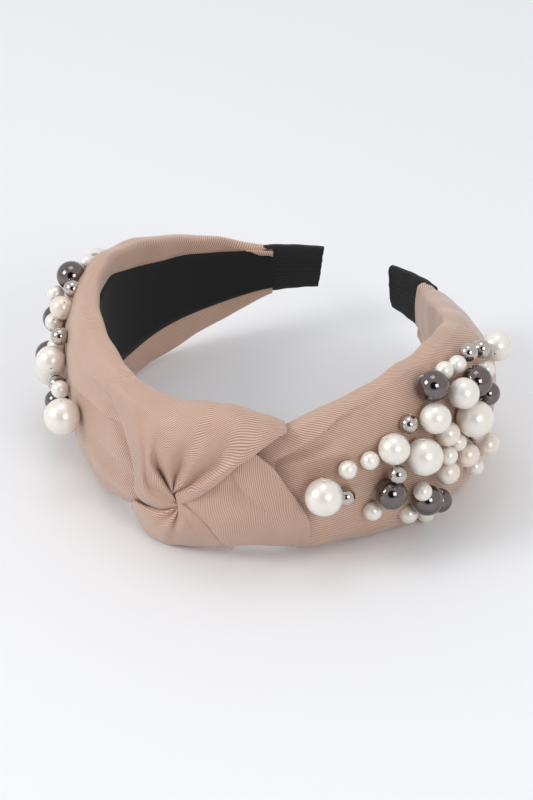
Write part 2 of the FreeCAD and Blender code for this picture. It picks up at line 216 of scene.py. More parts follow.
def cloth_material(name, colour, groove_shade, angle, pitch, roughness, depth, sheen=0.3):
    """Ribbed cloth: painted shade darkens the grooves between the ribs, and the ribs stand up."""
    material, nodes, links, shader = new_material(name, colour, roughness)
    uv, rib = ribs(nodes, links, angle, pitch)
    mottle = nodes.new("ShaderNodeTexNoise")
    mottle.inputs["Scale"].default_value = 90.0
    mottle.inputs["Detail"].default_value = 3.0
    links.new(uv.outputs["UV"], mottle.inputs["Vector"])
    # Painted shade: the cloth turns to the darker groove colour between the ribs
    blend = nodes.new("ShaderNodeMix")
    blend.data_type = "RGBA"
    blend.inputs[MIX_A].default_value = (*groove_shade, 1)
    blend.inputs[MIX_B].default_value = (*colour, 1)
    links.new(rib.outputs["Fac"], blend.inputs[MIX_FACTOR])
    shade = nodes.new("ShaderNodeMix")
    shade.data_type = "RGBA"
    shade.blend_type = "MULTIPLY"
    shade.inputs[MIX_FACTOR].default_value = MOTTLE_SHARE
    links.new(blend.outputs[MIX_RESULT], shade.inputs[MIX_A])
    links.new(mottle.outputs["Fac"], shade.inputs[MIX_B])
    links.new(shade.outputs[MIX_RESULT], shader.inputs["Base Color"])
    bump = nodes.new("ShaderNodeBump")
    bump.inputs["Strength"].default_value = 0.55
    bump.inputs["Distance"].default_value = depth * MM
    links.new(rib.outputs["Fac"], bump.inputs["Height"])
    links.new(bump.outputs["Normal"], shader.inputs["Normal"])
    shader.inputs["Sheen Weight"].default_value = sheen
    shader.inputs["Sheen Roughness"].default_value = 0.4
    shader.inputs["Specular IOR Level"].default_value = 0.45
    return material


def pearl_material(name, colour, warm):
    """Nacre: a lustrous body, clouded with a warmer tone, under a thin glossy coat."""
    material, nodes, links, shader = new_material(name, colour, 0.34, 0.3)
    coordinates = nodes.new("ShaderNodeTexCoord")
    cloud = nodes.new("ShaderNodeTexNoise")
    cloud.inputs["Scale"].default_value = 160.0
    cloud.inputs["Detail"].default_value = 2.0
    links.new(coordinates.outputs["Object"], cloud.inputs["Vector"])
    blend = nodes.new("ShaderNodeMix")
    blend.data_type = "RGBA"
    blend.inputs[MIX_A].default_value = (*colour, 1)
    blend.inputs[MIX_B].default_value = (*warm, 1)
    links.new(cloud.outputs["Fac"], blend.inputs[MIX_FACTOR])
    links.new(blend.outputs[MIX_RESULT], shader.inputs["Base Color"])
    shader.inputs["Coat Weight"].default_value = 0.8
    shader.inputs["Coat Roughness"].default_value = 0.06
    return material


def metal_material(name, colour, roughness):
    """Polished plated metal with a faint unevenness in its polish."""
    material, nodes, links, shader = new_material(name, colour, roughness, 1.0)
    coordinates = nodes.new("ShaderNodeTexCoord")
    noise = nodes.new("ShaderNodeTexNoise")
    noise.inputs["Scale"].default_value = 400.0
    polish = nodes.new("ShaderNodeMapRange")
    polish.inputs["To Min"].default_value = roughness * 0.8
    polish.inputs["To Max"].default_value = roughness * 1.5
    links.new(coordinates.outputs["Object"], noise.inputs["Vector"])
    links.new(noise.outputs["Fac"], polish.inputs["Value"])
    links.new(polish.outputs["Result"], shader.inputs["Roughness"])
    return material


def grain_material(name, colour, roughness, scale, depth):
    """Plain material with a fine grain, for foam, plastic and thread."""
    material, nodes, links, shader = new_material(name, colour, roughness)
    coordinates = nodes.new("ShaderNodeTexCoord")
    noise = nodes.new("ShaderNodeTexNoise")
    noise.inputs["Scale"].default_value = scale
    noise.inputs["Detail"].default_value = 4.0
    bump = nodes.new("ShaderNodeBump")
    bump.inputs["Strength"].default_value = 0.5
    bump.inputs["Distance"].default_value = depth * MM
    links.new(coordinates.outputs["Object"], noise.inputs["Vector"])
    links.new(noise.outputs["Fac"], bump.inputs["Height"])
    links.new(bump.outputs["Normal"], shader.inputs["Normal"])
    return material


BLUSH = (0.76, 0.535, 0.42)
# Painted shade in the grooves between the ribs of the blush twill
BLUSH_GROOVE_SHADE = (0.41, 0.23, 0.16)
RIB_PITCH = 0.62


def twill(name, angle):
    return cloth_material(name, BLUSH, BLUSH_GROOVE_SHADE, angle, RIB_PITCH, roughness=0.42, depth=0.1)


twill_right = twill("blush_twill_right", 53)
twill_left = twill("blush_twill_left", 158)
twill_knot = twill("blush_twill_knot", 50)
twill_panel = twill("blush_twill_panel", 135)
# The lining and the grosgrain also get painted shade in the grooves between their ribs
black_lining = cloth_material("black_lining", (0.009, 0.008, 0.008), (0.005, 0.005, 0.005),
                              angle=0, pitch=0.5, roughness=0.85, depth=0.03, sheen=0.04)
grosgrain = cloth_material("black_grosgrain", (0.011, 0.011, 0.011), (0.003, 0.003, 0.003),
                           angle=90, pitch=0.9, roughness=0.7, depth=0.16, sheen=0.04)
pearl_white = pearl_material("pearl_white", (0.89, 0.87, 0.83), (0.86, 0.79, 0.70))
pearl_cream = pearl_material("pearl_cream", (0.88, 0.81, 0.74), (0.84, 0.70, 0.60))
gunmetal = metal_material("gunmetal", (0.19, 0.163, 0.158), 0.05)
bright_silver = metal_material("bright_silver", (0.56, 0.515, 0.48), 0.05)
thread_white = grain_material("thread_white", (0.75, 0.72, 0.66), 0.6, 3000, 0.03)
foam_white = grain_material("foam_white", (0.80, 0.78, 0.72), 0.9, 1500, 0.2)
hoop_plastic = grain_material("hoop_plastic", (0.02, 0.02, 0.02), 0.4, 900, 0.02)


# ---------------------------------------------------------------- the band's outline
LEFT_TOP = [(-166.4, 35.4), (-159, 37.2), (-150, 42.2), (-130, 48.2), (-116, 52.3), (-100, 55.6), (-86, 56.6),
            (-70, 56.4), (-40, 55.0), (-28, 54.0), (-20, 53.0), (-9, 51.5)]
LEFT_BOTTOM = [(-166.4, 17.0), (-152, 10.5), (-141, 6.6), (-126, 3.0), (-108, 0.4), (-90, 0.0), (-50, 0.1),
               (-42, 0.8), (-36, 2.4), (-30, 4.4), (-25, 5.4), (-18, 6.0), (-9, 6.4)]
RIGHT_TOP = [(15, 45.5), (21, 45.8), (29.3, 47.2), (33, 49.0), (39.3, 51.6), (45.5, 53.8), (52, 55.4),
             (62, 56.4), (86, 56.6), (100, 55.6), (116, 52.3), (130, 48.2),
             (150, 42.2), (159, 37.2), (166.4, 35.4)]
RIGHT_BOTTOM = [(15, 3.6), (29, 2.4), (37, 2.0), (46, 1.0), (56, 0.2), (90, 0.0), (108, 0.2), (126, 1.2),
                (141, 2.4), (152, 5.2), (166.4, 13.0)]
LEFT_FULL = [(-166.4, 4.4), (-150, 5.6), (-133, 7.6), (-108, 11.2), (-82, 11.6), (-50, 10.6), (-30, 9.6),
             (-18, 8.8), (-9, 7.5)]
RIGHT_FULL = [(15, 7.2), (24, 8.2), (30, 9.2), (50, 10.8), (82, 11.6), (108, 11.2), (133, 7.6), (150, 5.6),
              (166.4, 4.4)]
LINING_REACH = [(0, 13.2), (40, 15.5), (108.4, 15.5), (166.4, 7.6)]
# The lining stands higher where the left arm turns back, because less fabric is turned in there
LINING_RISE = [(-128, 0.0), (-108, 3.0), (-95, 5.5), (-60, 5.5), (-35, 2.0), (-20, 0.0)]
# The fabric turns over its long edges at this distance out
EDGE = 2.6
# The lining's edges wave a little, and the waves fade over this length at the crown and the end
WAVE_FADE = 30
WAVE_END = 160


def fade_at_end(far):
    return np.clip((WAVE_END - far) / WAVE_FADE, 0, 1)


def lining_top(distance):
    far = np.abs(distance)
    body = MID_HEIGHT + eased(LINING_REACH, far) + eased(LINING_RISE, distance)
    return body + 0.9 * wave(distance, 47, 0.8) * np.clip(far / WAVE_FADE, 0, 1) * fade_at_end(far)


def lining_bottom(distance):
    far = np.abs(distance)
    return MID_HEIGHT - eased(LINING_REACH, far) + 0.4 * wave(distance, 61, 2.0) * fade_at_end(far)


# How far the upper edge of the fabric leans inwards, over the lining
LEFT_LEAN = [(-166, 0.0), (-110, 0.0), (-78, -0.8), (-62, -1.0), (-48, -1.2), (-38, -0.8), (-28, 0.0)]
RIGHT_LEAN = [(50, 0.0), (62, -2.2), (74, -5.2), (88, -7.2), (112, -7.6), (132, -6.4), (150, -4.2),
              (160, -2.2), (166, -0.8)]
# How far the turned-in fabric of the right arm stands off the lining, towards the head
RIGHT_STAND_OFF = [(112, 0.0), (128, -3.2), (142, -5.2), (154, -4.4), (166, -1.2)]
# Where the turned-in fabric ends on the inner side of the right arm: it runs down over the lining
# towards the ribbon, as a share of the way from the lining's upper edge to its lower edge.
RIGHT_FLAP = [(88, 0.0), (112, 0.5), (130, 0.95), (146, 1.12), (166, 1.2)]
# Shares of the half height at which the lean starts on the inner and on the outer side
LEAN_INSIDE = 0.52
LEAN_OUTSIDE = 0.4
OUTER_ROUNDNESS = 0.85
# Place of the turned-in fabric where it covers most of the lining
OVER_LINING = -0.9
# How far the fabric goes under the lining's edges
TURNED_IN = 1.5
ACROSS = 150
arc = np.radians(np.linspace(78, -78, 25))


def section(top, bottom, full, wrap_top, wrap_bottom, lean, flap, stand_off):
    """Outline across the band, from the lining's upper edge over the outside to its lower edge."""
    middle = (top + bottom) / 2
    half = (top - bottom) / 2
    outer = [(EDGE + (full - EDGE) * math.cos(a) ** OUTER_ROUNDNESS,
              middle + (half - 0.25) * math.sin(a) / 0.985) for a in arc]
    covering = OVER_LINING if wrap_top < MID_HEIGHT + 5 else 0.05
    upper = [(covering, wrap_top), (covering - 0.3, (wrap_top + top) / 2), (-0.35, top - 2.2),
             (0.1, top - 0.6), (1.3, top)]
    lower = [(1.3, bottom), (0.1, bottom + 0.6), (-0.35, bottom + 2.2), (-0.25, (wrap_bottom + bottom) / 2),
             (0.05, wrap_bottom)]
    outline = spline(upper + outer + lower, ACROSS)
    outline[:, 0] += stand_off * (1 - np.clip(outline[:, 0] / full, 0, 1))
    inner = np.arange(ACROSS) < np.argmax(outline[:, 1])
    rise = (outline[:, 1] - middle) / half
    outline[:, 0] += lean * np.where(inner, smooth(rise, LEAN_INSIDE - 1.2 * flap, 1.0), slope(rise))
    return outline


def band_grid(distances, top, bottom, full, lean, flap, stand_off, relief):
    """(points, uv) of a fabric skin along the band. relief is its height above the plain section."""
    wrap_top = lining_top(distances) - TURNED_IN
    wrap_bottom = lining_bottom(distances) + TURNED_IN
    wrap_top = wrap_top - flap * (wrap_top - wrap_bottom)
    stations = zip(top, bottom, full, wrap_top, wrap_bottom, lean, flap, stand_off)
    outline = np.stack([section(*values) for values in stations])
    tangent = np.gradient(outline, axis=1)
    tangent /= np.linalg.norm(tangent, axis=-1, keepdims=True)
    normal = np.stack([-tangent[..., 1], tangent[..., 0]], -1)
    share = np.linspace(0, 1, ACROSS)
    grid_distance = np.broadcast_to(distances[:, None], outline.shape[:2])
    lift = relief(grid_distance, outline[..., 1], outline[..., 0], share[None, :])
    outline = outline + normal * lift[..., None]
    points = place(grid_distance, outline[..., 0], outline[..., 1])
    across = np.concatenate([np.zeros((len(distances), 1)),
                             np.cumsum(np.linalg.norm(np.diff(outline, axis=1), axis=-1), axis=1)], axis=1)
    uv = np.stack([grid_distance, across - across[:, ACROSS // 2][:, None]], -1)
    return points, uv


def line_distance(path, distance, height):
    """(signed distance to a path on the cloth, share along it); positive is above the path."""
    path = np.asarray(path, float)
    best = np.full(distance.shape, 1e9)
    signed = np.zeros(distance.shape)
    share = np.zeros(distance.shape)
    count = len(path) - 1
    for i in range(count):
        ax, ay = path[i]
        bx, by = path[i + 1]
        dx = bx - ax
        dy = by - ay
        t = np.clip(((distance - ax) * dx + (height - ay) * dy) / (dx * dx + dy * dy), 0, 1)
        gap = np.hypot(distance - ax - t * dx, height - ay - t * dy)
        side = np.sign((dx * (height - ay) - dy * (distance - ax)) * dx)
        nearer = gap < best
        best = np.where(nearer, gap, best)
        signed = np.where(nearer, side * gap, signed)
        share = np.where(nearer, (i + t) / count, share)
    return signed, share


def crease(path, depth, width, distance, height):
    """A soft valley along a path that fades at its far end."""
    gap, share = line_distance(path, distance, height)
    return -depth * np.exp(-(gap / width) ** 2) * (1 - share ** 3)


def ridge(path, rise, width, distance, height):
    gap, share = line_distance(path, distance, height)
    return rise * np.exp(-(gap / width) ** 2) * np.sin(np.pi * np.clip(share * 0.9 + 0.1, 0, 1)) ** 0.5


def tuck(path, rise, width, distance, height):
    """A fold whose upper side lies over its lower side, and which fades at its far end."""
    gap, share = line_distance(path, distance, height)
    over = rise * np.exp(-np.maximum(gap, 0) / width) * (gap > 0)
    edge = 0.5 + 0.5 * np.tanh(gap / 0.7)
    under = -0.5 * rise * np.exp(-np.maximum(-gap, 0) / (0.5 * width)) * (gap <= 0)
    return (over * edge + under) * (1 - share ** 2)


def edge_puff(distance, out, share, phase):
    """Small waves of the rolled edges and of the turned-in fabric."""
    roll = np.exp(-((share - 0.17) / 0.07) ** 2) + np.exp(-((share - 0.83) / 0.07) ** 2)
    waves = 0.26 * wave(distance, 31, phase) + 0.12 * wave(distance, 17.5, 2 * phase)
    inner = (out < 0.3) * (0.18 * wave(distance, 17, phase + 1) - 0.1)
    return roll * waves + inner


# The folds belong to the outer side, which starts here, and fade towards the ends of the sash
OUTSIDE_START = 1.5
OUTSIDE_BLEND = 2.5
BEYOND_SASH = 168
END_FADE = 8


def ends(distance, near, far):
    """1 along the band and 0 at its two ends."""
    low = np.clip((np.abs(distance) - near) / END_FADE, 0, 1)
    high = np.clip((far - np.abs(distance)) / END_FADE, 0, 1)
    return low * high


def right_relief(distance, height, out, share):
    outer = np.clip((out - OUTSIDE_START) / OUTSIDE_BLEND, 0, 1)
    lift = tuck([(22, 36), (29, 40.5), (34, 43.3), (39, 46.8), (43.6, 50.3), (49, 52.5), (60, 54)],
                1.9, 7, distance, height)
    lift = lift + crease([(22, 35), (28, 38.8), (33, 41.2), (40, 43.8), (48, 46)], 1.3, 1.7, distance, height)
    lift = lift + ridge([(22, 36), (29, 37.6), (37, 38.8), (46, 40)], 0.7, 1.5, distance, height)
    lift = lift + crease([(26, 32), (36, 32.5), (48, 35), (62, 40)], 0.6, 3.0, distance, height)
    lift = lift + crease([(27, 15), (36, 20), (46, 21), (58, 19)], 0.7, 3.0, distance, height)
    lift = lift + crease([(152, 20), (140, 30), (124, 44)], 1.0, 4.0, distance, height)
    lift = lift + tuck([(165, 20), (156, 34), (146, 41)], 0.8, 4.0, distance, height)
    lift = lift + 0.22 * wave(distance + 0.6 * height, 31, 0.4)
    lift = lift + 0.12 * wave(distance - 0.9 * height, 17, 1.1)
    return lift * outer * ends(distance, 14, BEYOND_SASH) + edge_puff(distance, out, share, 0.7)


def left_relief(distance, height, out, share):
    outer = np.clip((out - OUTSIDE_START) / OUTSIDE_BLEND, 0, 1)
    lift = crease([(-12, 22), (-16, 31), (-21, 37), (-26, 44)], 1.2, 2.2, distance, height)
    lift = lift + ridge([(-12, 27), (-15, 36), (-18, 46)], 0.8, 2.0, distance, height)
    lift = lift + crease([(-13, 18), (-20, 22), (-29, 21), (-38, 26)], 0.9, 2.6, distance, height)
    lift = lift + ridge([(-14, 14), (-24, 15), (-36, 17), (-46, 25)], 0.9, 3.0, distance, height)
    lift = lift + tuck([(-17, 40.5), (-23, 39.7), (-30, 38.7), (-38, 37.7), (-51, 35.3), (-66, 33)],
                       1.5, 6.0, distance, height)
    lift = lift + crease([(-20, 48), (-28, 45), (-36, 44.5), (-48, 46)], 0.9, 2.4, distance, height)
    lift = lift + ridge([(-22, 51), (-30, 48.5), (-42, 48), (-56, 50)], 0.6, 2.2, distance, height)
    lift = lift + crease([(-150, 22), (-138, 31), (-122, 43)], 0.8, 4.0, distance, height)
    lift = lift + 0.22 * wave(distance + 0.5 * height, 29, 1.9)
    lift = lift + 0.12 * wave(distance - 0.8 * height, 16, 0.2)
    return lift * outer * ends(distance, 8, BEYOND_SASH) + edge_puff(distance, out, share, 2.1)


def plain_relief(distance, height, out, share):
    """The fabric under the knot has no folds of its own."""
    return np.zeros(distance.shape)


def flex(piece):
    """Bakes the piece's transform into its mesh, so the cloth, lining or hoop stays in the row frame."""
    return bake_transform(piece)


NONE = [(-170, 0.0), (170, 0.0)]
SIDES = (("right", 1), ("left", -1))
FABRIC_THICKNESS = 0.5


def make_sash(name, distances, top, bottom, full, lean, flap, stand_off, relief, material):
    sizes = [eased(stations, distances) for stations in (top, bottom, full, lean, flap, stand_off)]
    points, uv = band_grid(distances, *sizes, relief)
    piece = grid_piece(name, points, uv, material)
    return thicken(piece, FABRIC_THICKNESS, 1.0)


right_sash = make_sash("right_sash_cloth", np.linspace(20, 167, 210), RIGHT_TOP, RIGHT_BOTTOM, RIGHT_FULL,
                       RIGHT_LEAN, RIGHT_FLAP, RIGHT_STAND_OFF, right_relief, twill_right)
flex(right_sash)
left_sash = make_sash("left_sash_cloth", np.linspace(-167, -6, 226), LEFT_TOP, LEFT_BOTTOM, LEFT_FULL,
                      LEFT_LEAN, NONE, NONE, left_relief, twill_left)
flex(left_sash)
core = make_sash("crown_sash_cloth", np.linspace(-13, 25, 60),
                 [(-10, 51.0), (0, 51.0), (10, 50), (25, 45.2)],
                 [(-13, 6.2), (-4, 4.6), (10, 3.8), (25, 3.4)],
                 [(-10, 6.6), (0, 6.8), (25, 7.4)], NONE, NONE, NONE, plain_relief, twill_knot)
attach(core, "crown")
for cloth, node in ((right_sash, "right_sash"), (left_sash, "left_sash"), (core, "crown_sash")):
    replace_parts(cloth, node)

# ---------------------------------------------------------------- the knot
# Each fold is a fan of strands, listed from one of its edges to the other. A strand is a list of
# (distance, out, height) that starts in the pinch.


def fan(name, strands, along, across, material):
    """Cloth through a fan of strands, smooth both along and across them."""
    lines = np.stack([spline(strand, along) for strand in strands])
    points = np.stack([spline(lines[:, i], across) for i in range(along)])
    world = place(points[..., 0], points[..., 1], points[..., 2])
    across_mm = grid_lengths(world)
    middle = across_mm[:, across // 2][:, None]
    along_mm = grid_lengths(world.transpose(1, 0, 2)).T
    uv = np.stack([along_mm, across_mm - middle], -1)
    piece = grid_piece(name, world, uv, material)
    return thicken(piece, FABRIC_THICKNESS, 0.0)


# Where the turned-in ends of the folds lie: just over the lining's face, at these heights
ON_INNER_SIDE = -0.7
UPPER_TURNED_IN = 44.0
LOWER_TURNED_IN = 12.5


def over_the_top(strand):
    """Carries a strand over the upper edge of the band and down its inner side."""
    distance, out, height = strand[-1]
    return strand + [(distance, max(out - 3.0, 3.2), height + 0.4), (distance, 1.2, height - 0.2),
                     (distance, -0.75, height - 4.0), (distance, ON_INNER_SIDE, UPPER_TURNED_IN)]


def under_the_edge(strand):
    """Carries a strand under the lower edge of the band and up its inner side."""
    distance, out, height = strand[-1]
    return strand + [(distance, max(out - 2.6, 2.2), max(height - 1.5, 0.6)),
                     (distance, 0.4, max(height - 0.6, 1.2)),
                     (distance, ON_INNER_SIDE, height + 3.5), (distance, ON_INNER_SIDE, LOWER_TURNED_IN)]


LOOP_STRANDS = [
    [(-1.5, 8.5, 18), (-6, 9.5, 15.5), (-11, 10, 16), (-14.5, 10, 18), (-15, 9.5, 23), (-15.5, 9.5, 29),
     (-17, 9.5, 35), (-19.5, 9, 40.5), (-22, 9.5, 45.5), (-24.5, 9, 49), (-27, 8, 51.5)],
    [(-0.5, 10, 20), (-5, 11.5, 18), (-9, 12, 19.5), (-12, 12.5, 22.5), (-12.5, 12, 27), (-13, 12, 32.5),
     (-14.5, 12, 38.5), (-16.5, 11, 42.5), (-19.5, 10.5, 46.5), (-22.5, 9.5, 50), (-25, 8, 52.5)],
    [(-0.5, 10.5, 20.5), (-4.5, 13, 21), (-7.5, 14, 23.5), (-9, 14, 27), (-9.5, 14, 32.5),
     (-10, 13.5, 38), (-11, 13, 43.5), (-13.5, 11.5, 47.5), (-17.5, 10, 51), (-21.5, 7.5, 53.5)],
    [(-1, 10, 20.5), (-4.5, 11.5, 23.5), (-7.5, 12.5, 25.5), (-8.5, 13, 29.5), (-8, 13.5, 34.5),
     (-8.5, 13, 40.5), (-9, 12.5, 45.5), (-10, 11, 49.5), (-12, 9.5, 52.5), (-15, 6.5, 53.5)],
    [(-1.5, 10.5, 22.5), (-3.5, 13, 28.5), (-5.5, 14, 33), (-6.5, 14.5, 38),
     (-6, 14, 43.5), (-6, 13, 48), (-6.5, 11, 51.5), (-8.5, 7, 53.5)],
    [(-2.5, 9, 22), (-4.5, 9, 25.5), (-6, 9.5, 29.5), (-6, 12, 35.5),
     (-4.5, 13.5, 43.5), (-3, 12.5, 48.5), (-3, 10.5, 52), (-4.5, 7, 53.5)],
    [(-2, 10.5, 23.5), (-2, 12, 29.5), (-2, 13, 35), (-1, 14, 41),
     (0, 14, 45.5), (1, 12.5, 49.5), (1, 10.5, 53), (0, 7, 54)],
    [(-2.5, 9.5, 23), (-1.5, 10, 30), (0.5, 11, 36.5), (2, 12.5, 42),
     (4, 13.5, 47), (5, 12.5, 51), (5, 10.5, 54), (4.5, 7, 55)],
    [(-2, 10.5, 24.5), (1.5, 13, 31.5), (4, 14, 38), (6.5, 15, 43.5),
     (8, 14.5, 47), (9, 13, 50), (9.5, 10.5, 53.5), (9, 7, 55)],
    [(-2, 9.5, 24), (2.5, 11, 29.5), (6.5, 11.5, 36), (10, 12.5, 41),
     (12.5, 13, 46), (13.5, 12.5, 50), (13.5, 10.5, 53), (14, 7, 55)],
    [(-1, 11, 24), (4.5, 14, 30.5), (8.5, 15, 35.5), (12.5, 15.5, 40.5),
     (15.5, 15, 44), (17.5, 13.5, 48.5), (19, 11, 51.5), (19.5, 7, 53)],
    [(-0.5, 11, 22), (4.5, 14, 28), (8, 15, 32.5), (12, 15, 38),
     (15.5, 15, 42.5), (19, 14, 46), (22, 12, 49.5), (24.5, 7.5, 51)],
    [(-0.5, 10.5, 20.5), (4, 12.5, 25.5), (7.5, 13.5, 30), (11.5, 14, 35.5), (15, 13.5, 40.5),
     (19, 13, 44.5), (22.5, 12, 47.5), (25.5, 10, 49), (28, 7.5, 49)],
    [(-1.5, 8.5, 19), (3, 10, 24.5), (6.5, 11, 29), (10.5, 11, 34.5), (14.5, 11, 40),
     (18.5, 10.5, 44), (22, 10, 47), (25.5, 8.5, 49), (27.5, 7, 48.5)],
]
PANEL_STRANDS = [
    [(-1.5, 9, 21), (2.5, 11, 21), (5, 11, 17.5), (7, 10, 14.5),
     (9, 9, 10.5), (11, 8.5, 7), (12.5, 7, 4)],
    [(-0.5, 9.5, 22.5), (3.5, 12, 24), (6, 12.5, 20.5), (7.5, 12, 17.5),
     (9.5, 11.5, 13), (11.5, 9.5, 8.5), (13, 7, 4.5)],
    [(0.5, 8.5, 25), (5.5, 12, 26.5), (8.5, 13, 21.5),
     (11, 12.5, 16), (13, 10.5, 10), (14, 7, 5.5)],
    [(4.5, 8.5, 31), (9.5, 12, 31), (13, 13.5, 25.5),
     (16, 13, 19), (17.5, 10.5, 12.5), (18.5, 7, 6.5)],
    [(8.5, 8.5, 37), (13, 12, 36), (14.5, 11.5, 31), (18, 12, 26),
     (21.5, 12, 20.5), (23.5, 10, 13), (24.5, 7, 6.5)],
    [(10, 8.5, 38.5), (14, 12.5, 38), (16.5, 13.5, 34), (20.5, 13.5, 28),
     (24.5, 12.5, 22), (27.5, 10.5, 14.5), (29, 7, 6.5)],
    [(13.5, 8.5, 43), (17, 12, 42), (21.5, 12.5, 37), (25.5, 12, 29.5),
     (29, 11.5, 22), (31.5, 10, 14), (32.5, 7, 6.5)],
    [(15, 8.5, 46.5), (19, 11.5, 44.5), (24, 12, 38.5), (27.5, 11.5, 31),
     (31, 11, 24), (33.5, 11, 18), (34.5, 10, 12), (35, 7, 6.5)],
    [(14.5, 7.5, 45), (18.5, 10, 42.5), (24, 10, 37), (27.5, 10, 29.5),
     (30.5, 9.5, 23), (33, 9.5, 16.5), (34, 8.5, 11), (34.5, 7, 7)],
]
LOBE_STRANDS = [
    [(-1.5, 8, 18.5), (-6.5, 8.5, 15), (-12.5, 8.5, 13), (-17.5, 7.5, 10.5), (-21, 5.5, 6)],
    [(-0.5, 10, 19.5), (-4.5, 11, 17), (-9, 11.5, 15.5),
     (-13.5, 10, 14), (-17, 8.5, 12), (-20, 6, 6)],
    [(-0.5, 10, 19.5), (-4.5, 12.5, 16.5), (-8.5, 12, 13),
     (-12.5, 10, 10), (-15.5, 8, 6.5), (-17.5, 5.5, 2)],
    [(-1, 9.5, 18.5), (-4, 11.5, 14), (-7, 11, 9), (-10.5, 9, 5), (-13, 7, 1.5)],
    [(-0.5, 10.5, 19), (-2, 12.5, 14.5), (-4, 11.5, 9), (-6.5, 9.5, 4), (-8.5, 7, 1)],
    [(-0.5, 9.5, 18), (-1.5, 11, 14), (-2.5, 10.5, 9), (-3.5, 8.5, 4), (-4.5, 7, 1)],
    [(-0.5, 10.8, 20.5), (1.5, 13, 15.5), (0.5, 11, 9.5), (-1, 7.5, 3)],
    [(-0.8, 10.8, 21.5), (3, 12.3, 17.2), (4.5, 10.5, 10.5), (4.5, 7, 4)],
    [(-1, 10.6, 22.5), (5, 11.8, 18.2), (8.5, 10, 11), (10.5, 7, 5.5)],
    [(-1.2, 9.5, 23), (6, 9.8, 17.5), (9.5, 8.5, 10.5), (11.5, 6, 4.5)],
]


LOOP_STRANDS = [over_the_top(strand) for strand in LOOP_STRANDS]
PANEL_STRANDS = [under_the_edge(strand) for strand in PANEL_STRANDS]
LOBE_STRANDS = [under_the_edge(strand) for strand in LOBE_STRANDS]
knot_loop = fan("knot_upper_loop_cloth", LOOP_STRANDS, 110, 190, twill_knot)
knot_panel = fan("knot_right_panel_cloth", PANEL_STRANDS, 90, 130, twill_panel)
knot_lobe = fan("knot_lower_lobe_cloth", LOBE_STRANDS, 90, 130, twill_panel)
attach(knot_loop, "crown")
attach(knot_lobe, "crown")
flex(knot_panel)
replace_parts(knot_loop, "knot_upper_loop", "knot_left_wrap")
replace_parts(knot_panel, "knot_right_panel")
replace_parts(knot_lobe, "knot_lower_lobe")


# ---------------------------------------------------------------- lining, hoop and foam
def strip(name, distances, inner, outer, top, bottom, material, across=12):
    """A closed flat strip that follows the band."""
    rim = [(inner, t) for t in np.linspace(1, 0, across)] + [(outer, t) for t in np.linspace(0, 1, across)]
    out = np.array([point[0] for point in rim])
    share = np.array([point[1] for point in rim])
    high = top(distances)[:, None]
    low = bottom(distances)[:, None]
    height = low + (high - low) * share
    points = place(distances[:, None], out, height)
    uv = np.stack([np.broadcast_to(distances[:, None], height.shape), height], -1)
    piece = grid_piece(name, points, uv, material, closed=True)
    close_ends(piece, len(distances), len(rim))
    return piece


def close_ends(piece, rows, columns):
    """Caps the two open ends of a closed grid."""
    shape = bmesh.new()
    shape.from_mesh(piece.data)
    shape.verts.ensure_lookup_table()
    shape.faces.new([shape.verts[i] for i in range(columns)][::-1])
    shape.faces.new([shape.verts[(rows - 1) * columns + i] for i in range(columns)])
    bmesh.ops.recalc_face_normals(shape, faces=shape.faces)
    shape.to_mesh(piece.data)
    shape.free()


LINING_LENGTH = SASH_END + 1.0
HOOP_LENGTH = TIP - 1.0
HOOP_MARGIN = 1.4


def hoop_top(distance):
    return MID_HEIGHT + eased(LINING_REACH, np.abs(distance)) - HOOP_MARGIN


def hoop_bottom(distance):
    return MID_HEIGHT - eased(LINING_REACH, np.abs(distance)) + HOOP_MARGIN


for label, side in SIDES:
    reach = side * np.linspace(0, LINING_LENGTH, 150)
    lining = strip(label + "_lining_cloth", reach, -0.55, 0.15, lining_top, lining_bottom, black_lining)
    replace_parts(lining, "lining")
    flex(lining)
    hoop_reach = side * np.linspace(0, HOOP_LENGTH, 140)
    hoop = strip(label + "_hoop_strip", hoop_reach, 1.0, 2.3, hoop_top, hoop_bottom, hoop_plastic, 5)
    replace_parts(hoop, "hoop")
    flex(hoop)


# The foam starts just outside the hoop and stays clear of the fabric over it
FOAM_START = 2.5
FOAM_CLEARANCE = 2.4
FOAM_EDGE_CLEARANCE = 4.5
FOAM_THINNEST = 0.3
FOAM_COLUMNS = 48


def foam(name, distances, top, bottom, full, lean):
    """Foam that fills the fabric over the hoop, with rounded edges."""
    middle = (top(distances) + bottom(distances))[:, None] / 2
    half = (top(distances) - bottom(distances))[:, None] / 2 - FOAM_EDGE_CLEARANCE
    turn = np.linspace(0, 2 * math.pi, FOAM_COLUMNS, endpoint=False)
    bulge = np.maximum(full(distances)[:, None] - FOAM_CLEARANCE - FOAM_START, FOAM_THINNEST)
    outer = np.cos(turn) > 0
    out = FOAM_START + np.where(outer, bulge * np.abs(np.cos(turn)) ** 0.8, 0.0)
    height = middle + half * np.sin(turn)
    out = out + lean(distances)[:, None] * slope(np.sin(turn))
    points = place(distances[:, None], out, height)
    uv = np.stack([np.broadcast_to(distances[:, None], height.shape), height], -1)
    piece = grid_piece(name, points, uv, foam_white, closed=True)
    close_ends(piece, len(distances), FOAM_COLUMNS)
    return piece


